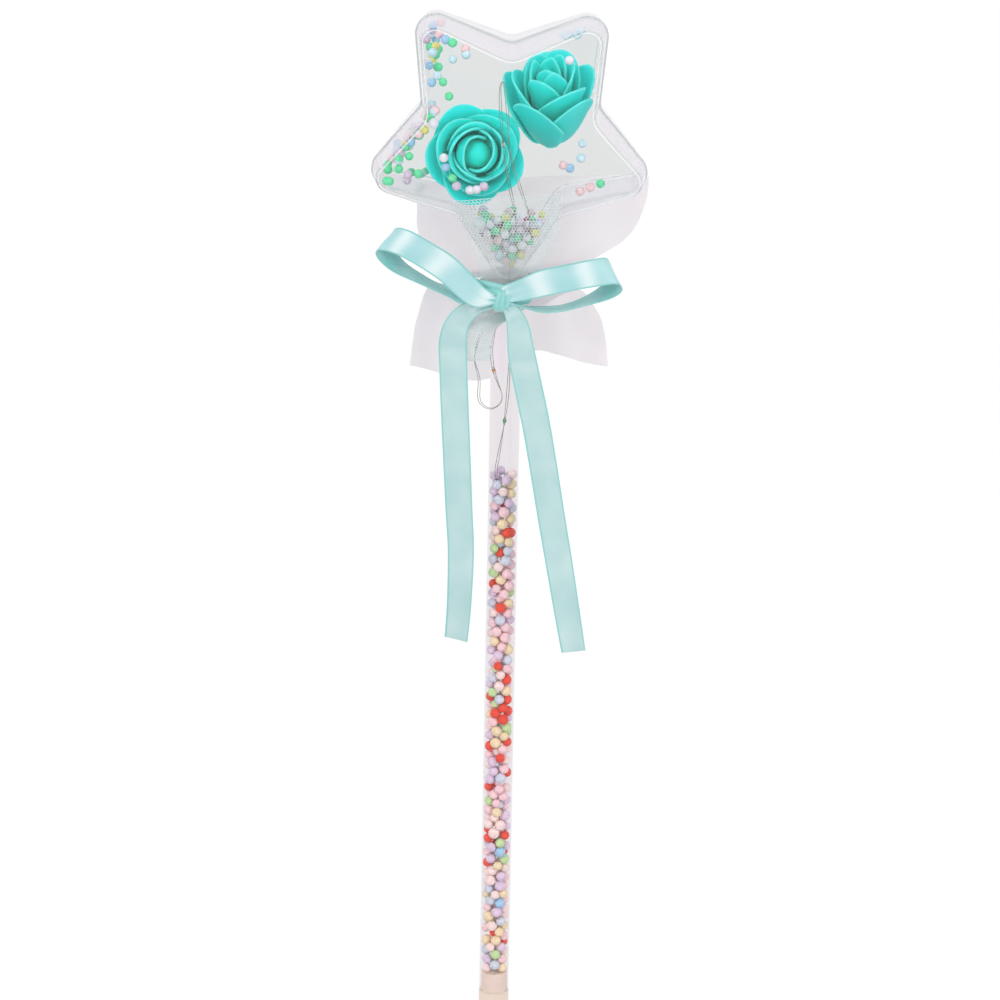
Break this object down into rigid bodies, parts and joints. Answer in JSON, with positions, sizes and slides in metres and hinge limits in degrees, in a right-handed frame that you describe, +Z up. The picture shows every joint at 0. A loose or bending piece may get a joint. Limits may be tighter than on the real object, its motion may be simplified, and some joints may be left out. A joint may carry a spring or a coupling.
{
  "type": "led flower light stick",
  "caption": "Clear star head holding moulded roses and loose foam beads, on a bead-filled clear tube, tied with wraps and a satin bow; lights up by a push button in its pull-off tail cap.",
  "frame": {"origin": "middle of the tail cap's end face, on the tube's axis", "axes": "+Z up along the tube to the star, -Y out of the star's front, +X to the right of someone facing the front"},
  "size_m": [0.0996, 0.0468, 0.404],
  "materials": {
    "clear_polystyrene": "clear, polished",
    "clear_acrylic": "clear, polished",
    "turquoise_foam": "smooth moulded, soft sheen",
    "bead_foam": "matte, mixed pastel colours",
    "white_nonwoven": "matte, slightly see-through",
    "mint_tulle": "open net",
    "mint_satin": "satin sheen",
    "lacquered_wire": "clear lacquer on copper",
    "led_resin": "clear resin drop",
    "white_abs": "smooth moulded",
    "plated_steel": "bright plated",
    "contact_brass": "plain",
    "board_resin": "green lacquer",
    "switch_black": "matte"
  },
  "bodies": {
    "stick": {"battery_case": "white_abs", "button_cell_1": "plated_steel", "button_cell_2": "plated_steel", "button_cell_3": "plated_steel", "positive_contact": "contact_brass", "return_strip": "contact_brass", "stick_tube": "clear_acrylic", "tube_bead_column": "bead_foam", "loose_bead_1": "bead_foam", "loose_bead_2": "bead_foam", "loose_bead_3": "bead_foam", "loose_bead_4": "bead_foam", "loose_bead_5": "bead_foam", "loose_bead_6": "bead_foam", "loose_bead_7": "bead_foam", "loose_bead_8": "bead_foam", "led_wire": "lacquered_wire", "led_slack_loop": "lacquered_wire", "star_led": "led_resin", "tube_led": "led_resin", "slack_loop_led": "led_resin", "star_front_shell": "clear_polystyrene", "star_back_shell": "clear_polystyrene", "left_rose_inner_petal_1": "turquoise_foam", "left_rose_inner_petal_2": "turquoise_foam", "left_rose_inner_petal_3": "turquoise_foam", "left_rose_middle_petal_1": "turquoise_foam", "left_rose_middle_petal_2": "turquoise_foam", "left_rose_middle_petal_3": "turquoise_foam", "left_rose_outer_petal_1": "turquoise_foam", "left_rose_outer_petal_2": "turquoise_foam", "left_rose_outer_petal_3": "turquoise_foam", "left_rose_outer_petal_4": "turquoise_foam", "left_rose_outer_petal_5": "turquoise_foam", "left_rose_bud": "turquoise_foam", "right_rose_inner_petal_1": "turquoise_foam", "right_rose_inner_petal_2": "turquoise_foam", "right_rose_inner_petal_3": "turquoise_foam", "right_rose_middle_petal_1": "turquoise_foam", "right_rose_middle_petal_2": "turquoise_foam", "right_rose_middle_petal_3": "turquoise_foam", "right_rose_outer_petal_1": "turquoise_foam", "right_rose_outer_petal_2": "turquoise_foam", "right_rose_outer_petal_3": "turquoise_foam", "right_rose_outer_petal_4": "turquoise_foam", "right_rose_outer_petal_5": "turquoise_foam", "right_rose_bud": "turquoise_foam", "back_wrap": "white_nonwoven", "front_tulle": "mint_tulle", "ribbon_neck_band": "mint_satin", "ribbon_knot": "mint_satin", "ribbon_left_loop": "mint_satin", "ribbon_right_loop": "mint_satin", "ribbon_left_tail": "mint_satin", "ribbon_right_tail": "mint_satin"},
    "tail_cap": {"tail_cap": "white_abs", "switch_board": "board_resin", "tact_switch": "switch_black", "contact_spring": "plated_steel"},
    "push_button": {"push_button": "switch_black"}
  },
  "joints": [
    {"name": "cap_pull", "type": "slide", "parent": "stick", "child": "tail_cap", "axis": [0, 0, -1], "range_m": [0, 0.0055]},
    {"name": "button_press", "type": "slide", "parent": "tail_cap", "child": "push_button", "axis": [0, 0, 1], "range_m": [0, 0.001], "stiffness_N_per_m": 400, "springref_m": -0.0012}
  ]
}
